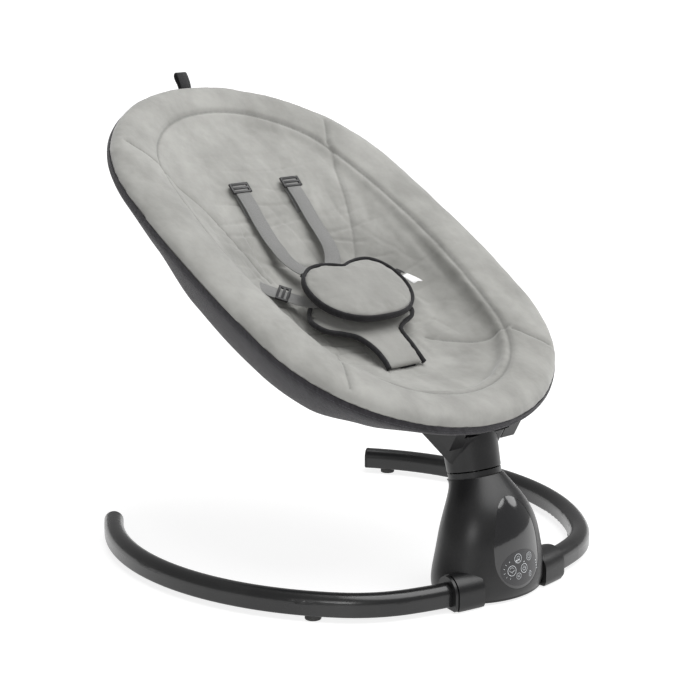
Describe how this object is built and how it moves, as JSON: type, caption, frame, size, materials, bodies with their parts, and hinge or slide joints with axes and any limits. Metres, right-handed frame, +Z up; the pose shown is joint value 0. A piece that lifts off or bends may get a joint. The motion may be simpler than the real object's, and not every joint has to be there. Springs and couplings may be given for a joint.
{
  "type": "baby swing",
  "caption": "Motorised baby swing: an oval padded seat with a harness sways from side to side on a leaning spindle above a C-shaped floor ring.",
  "frame": {"origin": "on the floor, at the centre of the rubber pad under the motor housing", "axes": "+Z up, +Y from the control panel towards the head end of the seat, +X to the right seen from the control panel"},
  "size_m": [0.682, 0.7402, 0.6502],
  "materials": {
    "powder_black": "semi-gloss black powder coat on steel tube",
    "black_plastic": "satin moulded plastic with a fine grain",
    "inner_plastic": "plain moulded plastic",
    "gloss_lens": "polished black lens",
    "touch_film": "printed matt film",
    "rubber": "moulded rubber",
    "steel": "machined steel",
    "zinc": "zinc-plated screw steel",
    "gear_plastic": "acetal, natural white",
    "circuit_board": "solder-masked glass board",
    "velour_grey": "short-pile grey velour, padded",
    "dark_weave": "charcoal woven polyester",
    "webbing_grey": "grey ribbed webbing",
    "webbing_black": "black webbing",
    "buckle_plastic": "black moulded buckle plastic",
    "button_red": "red press button",
    "label_white": "blank white satin tape"
  },
  "bodies": {
    "base": {"base_joiner": "inner_plastic", "base_plate": "black_plastic", "chassis": "inner_plastic", "chassis_screws": "zinc", "control_board": "circuit_board", "control_panel": "gloss_lens", "dc_inlet": "black_plastic", "front_housing": "black_plastic", "left_base_tube": "powder_black", "left_front_foot": "rubber", "left_rear_foot": "rubber", "left_socket_sleeve": "black_plastic", "left_tube_cap": "black_plastic", "lower_bearing": "steel", "motor": "steel", "motor_bracket": "inner_plastic", "neck_ring": "black_plastic", "rear_housing": "black_plastic", "rest_pad": "rubber", "right_base_tube": "powder_black", "right_front_foot": "rubber", "right_rear_foot": "rubber", "right_socket_sleeve": "black_plastic", "right_tube_cap": "black_plastic", "speaker": "black_plastic", "touch_pad": "touch_film", "tube_screws": "zinc", "upper_bearing": "steel"},
    "seat": {"crotch_strap": "webbing_grey", "swing_shaft": "steel", "sector_gear": "gear_plastic", "swivel_collar": "black_plastic", "seat_bracket": "black_plastic", "bracket_screws": "zinc", "upper_hoop_tube": "steel", "lower_hoop_tube": "steel", "right_hoop_connector": "steel", "left_hoop_connector": "steel", "rim_roll": "velour_grey", "sling_hem": "dark_weave", "seat_pad": "velour_grey", "back_sling": "dark_weave", "right_shoulder_strap": "webbing_grey", "left_shoulder_strap": "webbing_grey", "right_shoulder_tongue": "buckle_plastic", "left_shoulder_tongue": "buckle_plastic", "right_waist_tongue": "buckle_plastic", "left_waist_tongue": "buckle_plastic", "right_waist_strap": "webbing_grey", "left_waist_strap": "webbing_grey", "buckle": "buckle_plastic", "crotch_pad": "velour_grey", "buckle_pad": "velour_grey", "care_label": "label_white", "head_loop": "webbing_black"},
    "pinion": {"drive_pinion": "gear_plastic", "motor_shaft": "steel"},
    "button": {"release_button": "button_red"},
    "right_slider": {"right_strap_adjuster": "buckle_plastic"},
    "left_slider": {"left_strap_adjuster": "buckle_plastic"}
  },
  "joints": [
    {"name": "seat_swing", "type": "hinge", "parent": "base", "child": "seat", "pos_m": [0, 0.0326, 0.163], "axis": [0, 0.2419, 0.9703], "range_deg": [-15, 15]},
    {"name": "pinion_spin", "type": "hinge", "parent": "base", "child": "pinion", "pos_m": [0, -0.02544, 0.08523], "axis": [0, 0.2419, 0.9703], "range_deg": [-61, 61]},
    {"name": "button_press", "type": "slide", "parent": "seat", "child": "button", "axis": [0, 0.4917, -0.8708], "range_m": [0, 0.004], "stiffness_N_per_m": 400, "springref_m": -0.002},
    {"name": "right_slider_slide", "type": "slide", "parent": "seat", "child": "right_slider", "axis": [-0.0169, -0.7186, -0.6952], "range_m": [0, 0.02]},
    {"name": "left_slider_slide", "type": "slide", "parent": "seat", "child": "left_slider", "axis": [0.0169, -0.7186, -0.6952], "range_m": [0, 0.02]}
  ],
  "couplings": [
    {"joint": "pinion_spin", "follows": "seat_swing", "ratio": -4}
  ]
}
